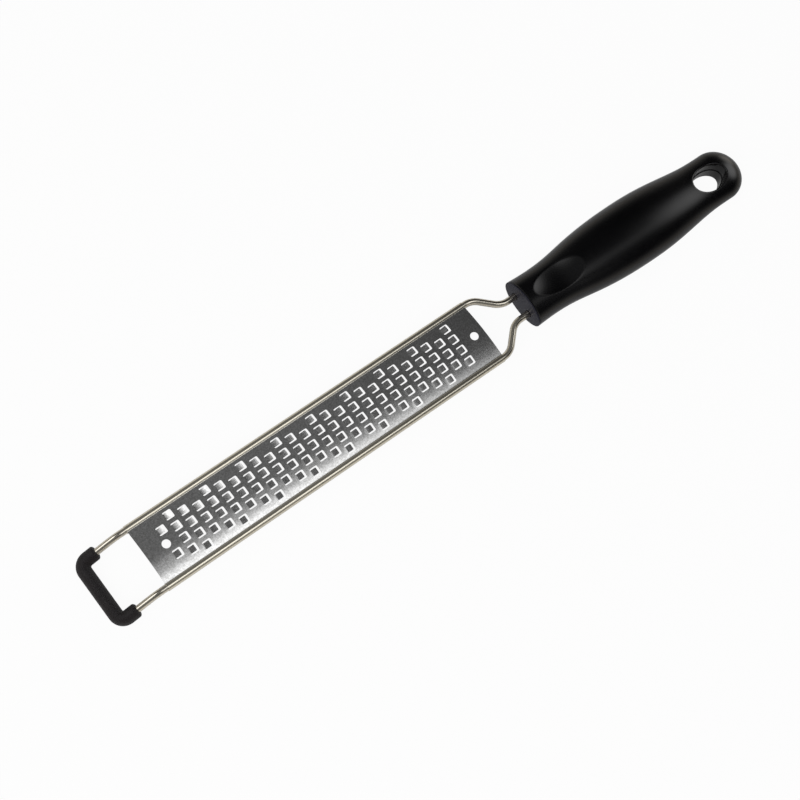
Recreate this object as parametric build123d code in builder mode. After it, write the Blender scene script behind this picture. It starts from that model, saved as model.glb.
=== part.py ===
from build123d import *
from math import atan2, cos, radians, sin, sqrt, tan
import os

# A rasp zester: a long punched blade hemmed onto a bent wire frame, a rubber
# foot round the frame's tip, and a hollow moulded grip closed by a cap that the
# two wire ends run through. X runs from the tip (-X) to the grip (+X), Y runs
# across the blade and Z points up, away from the table that the foot and the
# grip rest on. All lengths are millimetres, all angles degrees.

# Lengths along the tool, one after the other
tip_gap = 22.9                 # centre of the tip's crossbar to the blade's near end
blade_length = 185.3
neck_length = 23.45            # blade's far end to the front of the cap
handle_length = 137.55         # cap and grip together

# Wire frame
wire_diameter = 3.25
rail_spacing = 30.3            # between the centre lines of the two rails
rail_height = 10.6             # centre line of the rails above the table
tip_corner_radius = 4.0
tip_bend_radius = 18.0         # where the rails turn down towards the tip
tip_bend_setback = 5.95        # from the blade's near end to that turn
neck_spacing = 10.2            # between the centre lines where the wires enter the cap
neck_shift = 0.2               # how far the middle of the two lies off X, towards +Y
neck_bend_radius = 9.5
neck_skew = 0.3                # how much nearer the grip the +Y wire turns than the middle of both
neck_bend_shares = (0.20, 0.65)  # the two turns of the neck, along the neck
wire_tail = 9.0                # how far each wire end stands out of the cap's spigot

# Rubber foot
sleeve_diameter = 6.6
sleeve_arm = 9.0               # from the crossbar's centre line along each arm
sleeve_end_round = 1.1
sleeve_fit = 0.02              # radial clearance on the wire

# Blade
sheet_thickness = 0.25
camber = 1.27                  # rise of the arched sheet between its two hems
hem_fit = 0.02                 # radial clearance between hem and wire
hem_slit = 0.7                 # open seam along the underside of each hem
hem_landing = 45.0             # where the sheet meets the hem, above the horizontal
hem_slit_angle = 225.0         # where the hem's free edge ends
pilot_diameter = 4.0
near_pilot_inset = 10.2        # from the blade's near end
far_pilot_inset = 5.5          # from the blade's far end

# Teeth: a tongue bent up out of each window, free at the end nearer the grip
columns = 26
column_pitch = 6.35
row_pitch = 6.07
first_column_inset = 12.1      # blade's near end to the first column's centre
window_length = 4.1
window_width = 4.1
window_corner = 0.8
side_slit = 0.62               # on each side of a tongue
end_slit = 1.1                 # past a tongue's free edge
tooth_lift = 11.0              # angle of the bent-up tongue
tooth_root = 0.35              # length of the tongue held in the sheet
tooth_thinning_share = 0.8     # tongue's thickness over the sheet's
tooth_sink_share = 0.1         # how deep the tongue's root starts in the sheet

# Grip and cap
handle_width = 33.3
handle_height = 19.6           # top of the grip's mouth above the table
cap_thickness = 0.9
cap_round = 0.3
seam_chamfer = 0.3
wall = 2.9
spigot_depth = 14.0
spigot_fit = 0.15              # radial clearance in the grip's mouth
wire_hole_fit = 0.03           # radial clearance of the wires in the cap

# Thumb rest, a shallow dish on top of the grip
dish_length = 29.0
dish_depth = 1.8
dish_sweep_radius = 34.0       # across the grip
dish_inset = 19.35             # grip's mouth to the middle of the dish
dish_shift = 0.6               # off the middle, towards +Y
dish_rim_round = 3.0

# Hanging hole
hole_length = 19.6
hole_width = 12.6
hole_inset = 19.6              # end of the grip to the middle of the hole
hole_shoulder = 0.45           # how much smaller the hole is all round below its shoulder
hole_draft = 3.0               # angle of the walls
hole_rim_round = 0.9
hole_under_round = 0.3         # the rim at the underside

# Grip sections as shares: (along the grip, half width, top, underside), the
# width of half the grip's width and the two heights of the grip's height.
grip_shares = (
    (0.00, 0.745, 1.000, 0.184),
    (0.06, 0.726, 0.993, 0.188),
    (0.17, 0.757, 0.988, 0.166),
    (0.27, 0.862, 0.985, 0.110),
    (0.40, 0.966, 0.976, 0.030),
    (0.53, 1.000, 0.950, 0.000),
    (0.66, 0.974, 0.888, 0.000),
    (0.80, 0.863, 0.779, 0.012),
    (0.90, 0.788, 0.697, 0.018),
    (1.00, 0.777, 0.655, 0.010),
)
cavity_stations = 8            # how many of those sections the hollow passes through

# Places worked out from the sizes above
wire_radius = wire_diameter / 2
sleeve_radius = sleeve_diameter / 2
rail_y = rail_spacing / 2
neck_high_y = neck_shift + neck_spacing / 2
neck_low_y = neck_shift - neck_spacing / 2
overall_length = sleeve_radius + tip_gap + blade_length + neck_length + handle_length
tip_x = sleeve_radius - overall_length / 2
blade_start = tip_x + tip_gap
blade_end = blade_start + blade_length
mouth_x = blade_end + neck_length
grip_start = mouth_x + cap_thickness
handle_end = mouth_x + handle_length
tail_radius = grip_shares[-1][1] * handle_width / 2
grip_length = handle_end - tail_radius - grip_start

# The arched sheet, worked out from its camber and the hems it lands on
hem_inner = wire_radius + hem_fit
hem_outer = hem_inner + sheet_thickness
hem_middle = (hem_inner + hem_outer) / 2
landing_y = rail_y - hem_middle * cos(radians(hem_landing))
landing_z = rail_height + hem_middle * sin(radians(hem_landing))
arch_middle = (landing_y**2 + camber**2) / (2 * camber)
arch_outer = arch_middle + sheet_thickness / 2
arch_centre_z = landing_z + camber - arch_middle


def arch_plane(x, y):
    """Plane on the blade's upper skin at (x, y), with its normal square to the skin."""
    lean = y / arch_outer
    height = arch_centre_z + sqrt(arch_outer**2 - y**2)
    return Plane(origin=(x, y, height), x_dir=(1, 0, 0), z_dir=(0, lean, sqrt(1 - lean**2)))


def tooth_rows():
    """Each row's Y and the X of its windows: rows step by a third of a pitch per column."""
    steps = 3
    middle_share = 5 / steps
    near_pilot = (0, 1)
    rows = []
    for phase, count in enumerate((4, 4, 3)):
        for row in range(count):
            y = (middle_share - row - phase / steps) * row_pitch
            places = [
                blade_start + first_column_inset + column * column_pitch
                for column in range(columns)
                if (column + 2) % steps == phase and (column, row) != near_pilot
            ]
            rows.append((y, places))
    return rows


def grip_section(share_row, inset=0):
    """Centre height and half axes of one grip section, drawn in by an inset."""
    _, width_share, top_share, under_share = share_row
    centre = (top_share + under_share) / 2 * handle_height
    half_height = (top_share - under_share) / 2 * handle_height
    return centre, width_share * handle_width / 2 - inset, half_height - inset


def section_sketch(share_row, inset=0):
    """Ellipse of one grip section, on its own plane along the grip."""
    centre, half_width, half_height = grip_section(share_row, inset)
    x = grip_start + share_row[0] * grip_length
    with BuildSketch(Plane(origin=(x, 0, centre), x_dir=(0, 1, 0), z_dir=(1, 0, 0))) as sketch:
        Ellipse(half_width, half_height)
    return sketch.sketch


def loft_sections(share_rows, inset=0):
    """Smooth solid through the given grip sections."""
    with BuildPart() as body:
        loft([section_sketch(row, inset) for row in share_rows])
    return body.part


def frame_tip_points():
    """Turn of the near rail, then the two corners of the tip, on the +Y then -Y side."""
    bend_x = blade_start - tip_bend_setback
    return (
        (bend_x, rail_y, rail_height),
        (tip_x, rail_y, sleeve_radius),
        (tip_x, -rail_y, sleeve_radius),
        (bend_x, -rail_y, rail_height),
    )


# Wire frame: one bent rod from inside the grip, round the tip and back again
wire_end_x = grip_start + spigot_depth + wire_tail
neck_turns = [blade_end + share * neck_length for share in neck_bend_shares]
with BuildPart() as wire_frame:
    with BuildLine() as wire_path:
        FilletPolyline(
            (wire_end_x, neck_high_y, rail_height),
            (neck_turns[1] + neck_skew, neck_high_y, rail_height),
            (neck_turns[0] + neck_skew, rail_y, rail_height),
            *frame_tip_points(),
            (neck_turns[0] - neck_skew, -rail_y, rail_height),
            (neck_turns[1] - neck_skew, neck_low_y, rail_height),
            (wire_end_x, neck_low_y, rail_height),
            radius=[
                neck_bend_radius,
                neck_bend_radius,
                tip_bend_radius,
                tip_corner_radius,
                tip_corner_radius,
                tip_bend_radius,
                neck_bend_radius,
                neck_bend_radius,
            ],
        )
    with BuildSketch(wire_path.line ^ 0):
        Circle(wire_radius)
    sweep()

# Rubber foot: a sleeve that follows the frame round its tip
near_bend, near_corner, far_corner, far_bend = frame_tip_points()
arm_run = near_bend[0] - near_corner[0]
arm_rise = near_bend[2] - near_corner[2]
arm_slope = atan2(arm_rise, arm_run)
arm_end_x = tip_x + sleeve_arm * cos(arm_slope)
arm_end_z = sleeve_radius + sleeve_arm * sin(arm_slope)
with BuildPart() as tip_foot:
    with BuildLine() as sleeve_path:
        FilletPolyline(
            (arm_end_x, rail_y, arm_end_z),
            near_corner,
            far_corner,
            (arm_end_x, -rail_y, arm_end_z),
            radius=tip_corner_radius,
        )
    with BuildSketch(sleeve_path.line ^ 0):
        Circle(sleeve_radius)
        Circle(wire_radius + sleeve_fit, mode=Mode.SUBTRACT)
    sweep()
    arm_ends = tip_foot.faces().filter_by(GeomType.PLANE)
    fillet([arm_end.outer_wire().edge() for arm_end in arm_ends], sleeve_end_round)

# Blade: an arched sheet with both long edges hemmed round the rails
with BuildPart() as blade:
    with BuildSketch(Plane(origin=(blade_start, 0, 0), x_dir=(0, 1, 0), z_dir=(1, 0, 0))):
        with Locations((0, arch_centre_z)):
            Circle(arch_outer)
            Circle(arch_outer - sheet_thickness, mode=Mode.SUBTRACT)
        with Locations((0, landing_z)):
            Rectangle(2 * rail_y, 2 * (camber + sheet_thickness), mode=Mode.INTERSECT)
        for side in (-1, 1):
            with Locations((side * rail_y, rail_height)):
                Circle(hem_outer)
                Circle(hem_inner, mode=Mode.SUBTRACT)
            slit = radians(hem_slit_angle)
            slit_y = side * (rail_y + hem_middle * cos(slit))
            slit_z = rail_height + hem_middle * sin(slit)
            with Locations(Location((slit_y, slit_z), side * hem_slit_angle)):
                Rectangle(2 * sheet_thickness, hem_slit, mode=Mode.SUBTRACT)
    extrude(amount=blade_length)
    for y, places in tooth_rows():
        with BuildSketch(arch_plane(0, y)):
            with Locations(*[(x, 0) for x in places]):
                RectangleRounded(window_length, window_width, window_corner)
        extrude(amount=2 * sheet_thickness, both=True, mode=Mode.SUBTRACT)
    with BuildSketch(arch_plane(0, 0)):
        with Locations((blade_start + near_pilot_inset, 0), (blade_end - far_pilot_inset, 0)):
            Circle(pilot_diameter / 2)
    extrude(amount=2 * sheet_thickness, both=True, mode=Mode.SUBTRACT)
    tongue_width = window_width - 2 * side_slit
    tongue_start = -window_length / 2 - tooth_root
    tongue_run = window_length - end_slit + tooth_root
    tongue_rise = tongue_run * tan(radians(tooth_lift))
    tongue_depth = sheet_thickness * tooth_thinning_share
    tongue_top = -sheet_thickness * tooth_sink_share
    for y, places in tooth_rows():
        skin = arch_plane(0, y)
        with BuildSketch(Plane(origin=skin.origin, x_dir=skin.x_dir, z_dir=-skin.y_dir)):
            with Locations(*[(x + tongue_start, tongue_top) for x in places]):
                Polygon(
                    (0, 0),
                    (0, -tongue_depth),
                    (tongue_run, tongue_rise - tongue_depth),
                    (tongue_run, tongue_rise),
                    align=None,
                )
        extrude(amount=tongue_width / 2, both=True)

# Cap: a flange over the grip's mouth and a spigot that holds both wires
mouth_centre, mouth_half_width, mouth_half_height = grip_section(grip_shares[0])
with BuildPart() as handle_cap:
    with BuildSketch(Plane(origin=(mouth_x, 0, mouth_centre), x_dir=(0, 1, 0), z_dir=(1, 0, 0))):
        Ellipse(mouth_half_width, mouth_half_height)
    extrude(amount=cap_thickness)
    fillet(handle_cap.edges().group_by(Axis.X)[0], cap_round)
    chamfer(handle_cap.edges().group_by(Axis.X)[-1], seam_chamfer)
    narrowest = grip_section(grip_shares[1], wall + spigot_fit)
    with BuildSketch(Plane(origin=(grip_start, 0, mouth_centre), x_dir=(0, 1, 0), z_dir=(1, 0, 0))):
        Ellipse(narrowest[1], narrowest[2])
    extrude(amount=spigot_depth)
    with BuildSketch(Plane(origin=(mouth_x, 0, rail_height), x_dir=(0, 1, 0), z_dir=(1, 0, 0))):
        with Locations((neck_low_y, 0), (neck_high_y, 0)):
            Circle(wire_radius + wire_hole_fit)
    extrude(amount=cap_thickness + spigot_depth, mode=Mode.SUBTRACT)

# Grip: a hollow body with a domed tail, a thumb rest and a hanging hole
tail_centre, _, tail_half_height = grip_section(grip_shares[-1])
tail_x = grip_start + grip_length
hole_x = handle_end - hole_inset
dish_x = grip_start + dish_inset
dish_top = grip_shares[2][2] * handle_height
dish_curve_radius = ((dish_length / 2) ** 2 + dish_depth**2) / (2 * dish_depth)
dish_floor = dish_top - dish_depth
hole_reach = handle_height / 2
hole_spread = hole_reach * tan(radians(hole_draft))


def is_hole_rim(edge):
    """Whether an edge of the hanging hole lies on the grip's skin, not inside the hole."""
    off_parting = abs(edge.center().Z - tail_centre) > tail_half_height / 2
    return off_parting and edge.bounding_box().size.Z < tail_half_height / 2


with BuildPart() as handle:
    add(loft_sections(grip_shares))
    with BuildSketch(Plane(origin=(tail_x, 0, tail_centre), x_dir=(0, -1, 0), z_dir=(-1, 0, 0))):
        Ellipse(tail_radius, tail_half_height)
        with Locations((-tail_radius / 2, 0)):
            Rectangle(tail_radius, 2 * tail_half_height, mode=Mode.SUBTRACT)
    revolve(axis=Axis((tail_x, 0, 0), (0, 0, 1)), revolution_arc=180)
    chamfer(handle.edges().sort_by(Axis.X)[0], seam_chamfer)
    add(loft_sections(grip_shares[:cavity_stations], wall), mode=Mode.SUBTRACT)
    with BuildSketch(Plane(origin=(dish_x, dish_shift, dish_floor), x_dir=(1, 0, 0), z_dir=(0, -1, 0))):
        with Locations((0, dish_curve_radius)):
            Circle(dish_curve_radius)
        with Locations((0, dish_sweep_radius + dish_curve_radius)):
            Rectangle(2 * dish_curve_radius, 2 * dish_curve_radius, mode=Mode.SUBTRACT)
    dish_axis = Axis((dish_x, dish_shift, dish_floor + dish_sweep_radius), (1, 0, 0))
    revolve(axis=dish_axis, mode=Mode.SUBTRACT)
    fillet(handle.edges(Select.LAST), dish_rim_round)
    halves = ((1, 0, hole_rim_round), (-1, hole_shoulder, hole_under_round))
    for direction, shoulder, rim_round in halves:
        half_length = hole_length / 2 - hole_spread / 2 - shoulder
        half_width = hole_width / 2 - hole_spread / 2 - shoulder
        with BuildSketch(Plane.XY.offset(tail_centre)) as parting:
            with Locations((hole_x, 0)):
                Ellipse(half_length, half_width)
        with BuildSketch(Plane.XY.offset(tail_centre + direction * hole_reach)) as hole_mouth:
            with Locations((hole_x, 0)):
                Ellipse(half_length + hole_spread, half_width + hole_spread)
        loft([parting.sketch, hole_mouth.sketch], mode=Mode.SUBTRACT)
        fillet(handle.edges(Select.LAST).filter_by(is_hole_rim), rim_round)

os.makedirs("parts", exist_ok=True)
pieces = {
    "blade": blade,
    "wire_frame": wire_frame,
    "tip_foot": tip_foot,
    "handle_cap": handle_cap,
    "handle": handle,
}
for name, piece in pieces.items():
    piece.part.label = name
    export_step(piece.part, f"parts/{name}.step")
    print(name, "solids", len(piece.part.solids()), "volume", round(piece.part.volume, 1))
print("overall length", round(overall_length, 2))
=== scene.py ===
import logging
import math
from collections.abc import Iterable, Sequence
from dataclasses import dataclass
from enum import Enum

import bmesh
import bpy
from bmesh.types import BMEdge, BMesh, BMVert
from bpy.types import ID, Material, Mesh, Node, NodeSocket, NodeTree, Object
from mathutils import Matrix, Vector


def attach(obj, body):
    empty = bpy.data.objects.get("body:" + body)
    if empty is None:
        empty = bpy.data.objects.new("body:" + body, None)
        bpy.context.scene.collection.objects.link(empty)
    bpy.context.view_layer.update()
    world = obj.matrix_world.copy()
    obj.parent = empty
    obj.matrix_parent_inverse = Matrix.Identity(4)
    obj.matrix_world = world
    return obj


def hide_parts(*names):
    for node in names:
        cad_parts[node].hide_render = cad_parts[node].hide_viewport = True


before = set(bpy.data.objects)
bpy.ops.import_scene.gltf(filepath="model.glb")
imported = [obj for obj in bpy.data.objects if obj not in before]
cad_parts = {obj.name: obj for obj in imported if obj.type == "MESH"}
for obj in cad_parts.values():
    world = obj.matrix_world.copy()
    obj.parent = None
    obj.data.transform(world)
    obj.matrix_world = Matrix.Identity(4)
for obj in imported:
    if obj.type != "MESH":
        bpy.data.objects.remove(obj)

# A rasp zester on a white sweep. The meshes are drawn in millimetres in the CAD
# frame (X from the tip foot to the grip, Y across the blade, Z up from the table)
# and turned to metres when they become objects.

MILLIMETRE = 0.001
TOUCHING = 0.001            # millimetres; points nearer than this are the same
WHITE = (1.0, 1.0, 1.0, 1.0)
FACING_X = Matrix.Rotation(math.radians(90), 4, "Y")
LOG = logging.getLogger("rasp_zester")
Edges = list[BMEdge]

# Places that more than one piece shares, in millimetres.
RAIL_Y = 15.15              # from the middle to a rail
RAIL_HEIGHT = 10.6
TIP_X = -182.95             # the wire's middle at the tip
DOWN_TURN_X = -166.0        # where the rails turn down towards the tip
TIP_CORNER = 4.0            # radius of the tip's two corners
WIRE_ENDS_Y = (-4.9, 5.3)   # near and far end of the wire in the cap


class RailSide(Enum):
    """Which of the frame's two long rails: the one at -Y or the one at +Y."""

    NEAR = -1
    FAR = 1


class Skin(Enum):
    """Which side of the grip a rim lies on: its underside or its top."""

    UNDER = -1
    TOP = 1


def linear(code: str) -> tuple[float, float, float, float]:
    """Turn an sRGB hex value into a linear colour.

    Args:
        code: Six hex digits.

    Returns:
        Linear red, green, blue and an alpha of 1.
    """
    channels = [int(code[at:at + 2], 16) / 255 for at in (0, 2, 4)]
    # The curve of the sRGB standard.
    straight = [c / 12.92 if c <= 0.04045 else ((c + 0.055) / 1.055) ** 2.4 for c in channels]
    return (straight[0], straight[1], straight[2], 1.0)


def set_up(tree: NodeTree, node: Node, settings: dict[str | int, object]) -> None:
    """Set inputs and properties of a shader node.

    Args:
        tree: Node tree that holds the node.
        node: Node to set up.
        settings: Value of each, or the socket that feeds it, by name or input number.
    """
    for key, value in settings.items():
        if not isinstance(key, int) and key not in node.inputs:
            setattr(node, key, value)
        elif isinstance(value, NodeSocket):
            tree.links.new(value, node.inputs[key])
        else:
            node.inputs[key].default_value = value


def add_node(tree: NodeTree, kind: str, settings: dict[str | int, object] | None = None) -> Node:
    """Add one shader node.

    Args:
        tree: Node tree of a material or of the world.
        kind: Type of the node, without its ShaderNode prefix.
        settings: What set_up puts into it.

    Returns:
        The new node.
    """
    node = tree.nodes.new(f"ShaderNode{kind}")
    set_up(tree, node, settings or {})
    return node


def reckon(tree: NodeTree, operation: str, *terms: float | NodeSocket) -> NodeSocket:
    """Add a math node on its terms and return the result."""
    return add_node(tree, "Math", {"operation": operation, **dict(enumerate(terms))}).outputs[0]


def mixed(tree: NodeTree, share: NodeSocket, first: object, second: object) -> NodeSocket:
    """Blend from one colour to another by a share and return the result."""
    return add_node(tree, "MixRGB", {0: share, 1: first, 2: second}).outputs[0]


def ranged(
    tree: NodeTree,
    value: NodeSocket,
    source: tuple[float, float] = (0.0, 1.0),
    target: tuple[float, float] = (0.0, 1.0),
    interpolation: str = "LINEAR",
) -> NodeSocket:
    """Map a range of a value onto another range, held at its ends.

    Args:
        tree: Node tree of a material or of the world.
        value: Value to map.
        source: Where its range starts and ends.
        target: What the value turns into there.
        interpolation: Way from one end to the other.

    Returns:
        The mapped value.
    """
    settings = {
        "interpolation_type": interpolation,
        "Value": value,
        "From Min": source[0],
        "From Max": source[1],
        "To Min": target[0],
        "To Max": target[1],
    }
    return add_node(tree, "MapRange", settings).outputs["Result"]


def around(middle: float, swing: float) -> tuple[float, float]:
    """Range from a swing below a value to a swing above it."""
    return middle - swing, middle + swing


def noise(
    tree: NodeTree,
    place: NodeSocket,
    *grain: float,
    detail: float,
    roughness: float,
) -> NodeSocket:
    """Add a noise pattern on Object coordinates.

    Args:
        tree: Node tree of a material.
        place: The coordinates.
        grain: Size of the pattern's grain in millimetres, once or along X, Y and Z.
        detail: Number of finer layers over the first one.
        roughness: How strongly they show.

    Returns:
        The pattern, from 0 to 1.
    """
    sizes = grain if len(grain) == 3 else grain * 3
    scale = tuple(1 / (size * MILLIMETRE) for size in sizes)
    at = add_node(tree, "Mapping", {"Vector": place, "Scale": scale}).outputs["Vector"]
    settings = {"Vector": at, "Scale": 1.0, "Detail": detail, "Roughness": roughness}
    return add_node(tree, "TexNoise", settings).outputs["Fac"]


def bump(tree: NodeTree, height: NodeSocket, depth: float, strength: float = 1.0) -> NodeSocket:
    """Add a bump pattern.

    Args:
        tree: Node tree of a material.
        height: Pattern, from 0 at its lowest to 1 at its highest.
        depth: Millimetres between the two.
        strength: Share of it that shows.

    Returns:
        The bumped normal.
    """
    settings = {"Height": height, "Strength": strength, "Distance": depth * MILLIMETRE}
    return add_node(tree, "Bump", settings).outputs["Normal"]


def new_material(name: str) -> tuple[Material, NodeTree, Node]:
    """Start a material.

    Args:
        name: Its name.

    Returns:
        The material, its node tree and its shader.
    """
    made = bpy.data.materials.new(name)
    made.use_nodes = True
    return made, made.node_tree, made.node_tree.nodes["Principled BSDF"]


def as_mesh(bm: BMesh, name: str) -> Mesh:
    """Turn a bmesh into mesh data.

    Args:
        bm: Mesh to use up.
        name: Name of the data.

    Returns:
        The data.
    """
    mesh = bpy.data.meshes.new(name)
    bm.to_mesh(mesh)
    bm.free()
    return mesh


def as_object(name: str, data: ID) -> Object:
    """Add an object to the scene.

    Args:
        name: Name of the object.
        data: Mesh, lamp or camera that it holds.

    Returns:
        The object.
    """
    made = bpy.data.objects.new(name, data)
    bpy.context.scene.collection.objects.link(made)
    return made


def in_order(edges: Iterable[BMEdge]) -> Edges:
    """List each edge once, by its place, so that every run takes them in the same order."""
    return sorted(set(edges), key=lambda edge: tuple(edge.verts[0].co + edge.verts[1].co))


def verts_of(geometry: Iterable[object]) -> list[BMVert]:
    """Pick the vertices out of what an operator returned."""
    return [part for part in geometry if isinstance(part, BMVert)]


def edges_of(geometry: Iterable[object]) -> Edges:
    """Pick the edges out of what an operator returned."""
    return in_order(part for part in geometry if isinstance(part, BMEdge))


def push(bm: BMesh, rim: Edges, along: Vector) -> Edges:
    """Extrude a rim of edges straight along a vector.

    Args:
        bm: Mesh that holds the rim.
        rim: Edges to extrude.
        along: How far the new rim lies from the old one.

    Returns:
        The new rim.
    """
    grown = bmesh.ops.extrude_edge_only(bm, edges=rim)["geom"]
    moved = set(verts_of(grown))
    bmesh.ops.translate(bm, verts=list(moved), vec=along)
    return [edge for edge in edges_of(grown) if moved.issuperset(edge.verts)]


def rim_verts(rim: Edges) -> list[BMVert]:
    """List the vertices of a rim once each."""
    return sorted({vert for edge in rim for vert in edge.verts}, key=lambda vert: tuple(vert.co))


def resize(bm: BMesh, rim: Edges, centre: Vector, scale: Vector) -> None:
    """Scale a rim about a point.

    Args:
        bm: Mesh that holds the rim.
        rim: Edges to scale.
        centre: Point that stays where it is.
        scale: Factors along X, Y and Z.
    """
    bmesh.ops.scale(bm, verts=rim_verts(rim), vec=scale, space=Matrix.Translation(-centre))


def circle_rim(bm: BMesh, radius: float, sides: int, place: Matrix) -> Edges:
    """Draw a circle as a rim of edges.

    Args:
        bm: Mesh to draw in.
        radius: Circle's radius.
        sides: Number of edges.
        place: Where it lies and how it is turned and stretched.

    Returns:
        The rim.
    """
    circle = bmesh.ops.create_circle(
        bm, cap_ends=False, radius=radius, segments=sides, matrix=place
    )
    return in_order(edge for vert in circle["verts"] for edge in vert.link_edges)


def fill_between(bm: BMesh, edges: Edges) -> None:
    """Fill the area between closed rims with triangles."""
    bmesh.ops.triangle_fill(bm, use_beauty=True, use_dissolve=False, edges=edges)


def round_corners(bm: BMesh, corners: list[BMVert], offset: float, steps: int) -> list[BMVert]:
    """Round the corners of a flat outline.

    Args:
        bm: Mesh that holds them.
        corners: Vertices to round.
        offset: How far from each corner its rounding starts.
        steps: Number of edges of each rounding.

    Returns:
        The vertices of the roundings.
    """
    rounded = bmesh.ops.bevel(
        bm,
        geom=corners,
        offset=offset,
        offset_type="OFFSET",
        segments=steps,
        profile=0.5,
        affect="VERTICES",
        material=-1,
    )
    return rounded["verts"]


def quarter_round(radius: float, steps: int) -> list[tuple[float, float]]:
    """Trace a rounded edge from a wall to the end face.

    Args:
        radius: Radius of the edge.
        steps: Number of points.

    Returns:
        How far each point lies along the wall and how far inside it.
    """
    angles = [math.radians(90 * step / steps) for step in range(1, steps + 1)]
    return [(radius * math.sin(angle), radius * (1 - math.cos(angle))) for angle in angles]


@dataclass(frozen=True)
class Bend:
    """A turn of a rod: the point where its straight runs would meet, and its radius."""

    corner: Vector
    radius: float


def bent_tube(
    bm: BMesh,
    start: Vector,
    bends: Sequence[Bend],
    end: Vector,
    radius: float,
    sides: int = 32,
) -> tuple[Edges, Edges]:
    """Draw a round tube along straight runs joined by arcs.

    Args:
        bm: Mesh to draw in.
        start: Centre of the tube's first rim.
        bends: Its turns, in order.
        end: Centre of its last rim.
        radius: Tube's radius.
        sides: Number of faces round the tube.

    Returns:
        The open rims at its start and its end.
    """
    degrees_per_step = 6
    heading = (bends[0].corner - start).normalized()
    facing = heading.to_track_quat("Z", "X").to_matrix().to_4x4()
    first = circle_rim(bm, radius, sides, Matrix.Translation(start) @ facing)
    rim, here = first, start
    following = [bend.corner for bend in bends[1:]] + [end]
    for bend, after in zip(bends, following):
        onward = (after - bend.corner).normalized()
        angle = heading.angle(onward)
        setback = bend.radius * math.tan(angle / 2)
        arc_start = bend.corner - heading * setback
        rim = push(bm, rim, arc_start - here)
        axis = heading.cross(onward).normalized()
        spun = bmesh.ops.spin(
            bm,
            geom=rim,
            cent=arc_start + axis.cross(heading) * bend.radius,
            axis=axis,
            angle=angle,
            steps=math.ceil(math.degrees(angle) / degrees_per_step),
        )
        rim = edges_of(spun["geom_last"])
        here, heading = bend.corner + onward * setback, onward
    return first, push(bm, rim, end - here)


def finish_piece(
    bm: BMesh,
    name: str,
    node: str,
    material: Material,
    crease: float = 32.0,
) -> Object:
    """Turn a mesh drawn in millimetres into a piece that stands for a CAD node.

    Args:
        bm: Mesh to use up.
        name: Name of the new piece.
        node: CAD node that it replaces.
        material: Finish of all its faces.
        crease: Angle in degrees past which an edge stays sharp.

    Returns:
        The new object, at the origin.
    """
    bmesh.ops.scale(bm, verts=bm.verts, vec=Vector((MILLIMETRE,) * 3))
    mesh = as_mesh(bm, name)
    mesh.shade_smooth()
    mesh.set_sharp_from_angle(angle=math.radians(crease))
    mesh.materials.append(material)
    piece = as_object(name, mesh)
    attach(piece, "root")
    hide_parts(node)
    return piece


def applied(piece_mesh: Mesh, *modifiers: tuple[str, dict[str, object]]) -> BMesh:
    """Run modifiers on a mesh and return the result.

    Args:
        piece_mesh: Mesh to use up.
        modifiers: Kind of each modifier and its settings.

    Returns:
        The changed mesh, as a new bmesh.
    """
    holder = as_object("holder", piece_mesh)
    for kind, settings in modifiers:
        modifier = holder.modifiers.new(kind.title(), kind)
        for key, value in settings.items():
            setattr(modifier, key, value)
    depsgraph = bpy.context.evaluated_depsgraph_get()
    result = bpy.data.meshes.new_from_object(holder.evaluated_get(depsgraph))
    bm = bmesh.new()
    bm.from_mesh(result)
    bpy.data.objects.remove(holder)
    bpy.data.meshes.remove(piece_mesh)
    bpy.data.meshes.remove(result)
    return bm


@dataclass(frozen=True)
class RolledStainless:
    """Cold-rolled 18/8 stainless sheet with a satin mill finish.

    Its soft mirror gives the eye broad, blurred reflections of the studio, under
    fine rolling lines and a mottle of dull specks. The hems are painted brighter and
    a little warmer, without the dull specks: a painted reflection of the warm floor and
    horizon that their rounded sides mirror.
    """

    colour: str = "DDDDDD"
    dull_colour: str = "BBBBBA"
    # Painted reflection: the hems' warmer colour stands in for the warm floor they mirror.
    hem_reflection_colour: str = "DBD5C5"
    hem_from: float = 13.5          # millimetres from the middle
    hem_full: float = 14.1
    speck: float = 0.8              # drawn coarser than the real 0.1 mm, to show
    roughness: float = 0.17
    roughness_swing: float = 0.04
    line_length: float = 30.0       # millimetres, along the rolling direction
    line_width: float = 0.25        # drawn coarser than the real 0.02 mm, to show
    line_depth: float = 0.006       # drawn deeper than the real lines, to show
    line_strength: float = 0.25
    speck_spread: tuple[float, float] = (0.35, 0.65)    # noise from bright to dull

    def material(self) -> Material:
        """Build the material.

        Returns:
            The material.
        """
        made, tree, shader = new_material("rolled_stainless")
        place = add_node(tree, "TexCoord").outputs["Object"]
        grain = (self.line_length, self.line_width, self.line_width)
        lines = noise(tree, place, *grain, detail=3.0, roughness=0.6)
        specks = noise(tree, place, self.speck, detail=2.0, roughness=0.6)
        dull = ranged(tree, specks, self.speck_spread)
        sheet = mixed(tree, dull, linear(self.colour), linear(self.dull_colour))
        across = add_node(tree, "SeparateXYZ", {0: place}).outputs["Y"]
        from_middle = reckon(tree, "ABSOLUTE", across)
        hem = (self.hem_from * MILLIMETRE, self.hem_full * MILLIMETRE)
        # Painted reflection: blend to the warmer hem colour across the hems, from hem_from to
        # hem_full.
        painted_hem_reflection = ranged(tree, from_middle, hem)
        rough = ranged(tree, lines, target=around(self.roughness, self.roughness_swing))
        settings = {
            "Metallic": 1.0,
            "Base Color": mixed(tree, painted_hem_reflection, sheet, linear(self.hem_reflection_colour)),
            "Roughness": rough,
            "Normal": bump(tree, lines, self.line_depth, self.line_strength),
        }
        set_up(tree, shader, settings)
        return made


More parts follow.
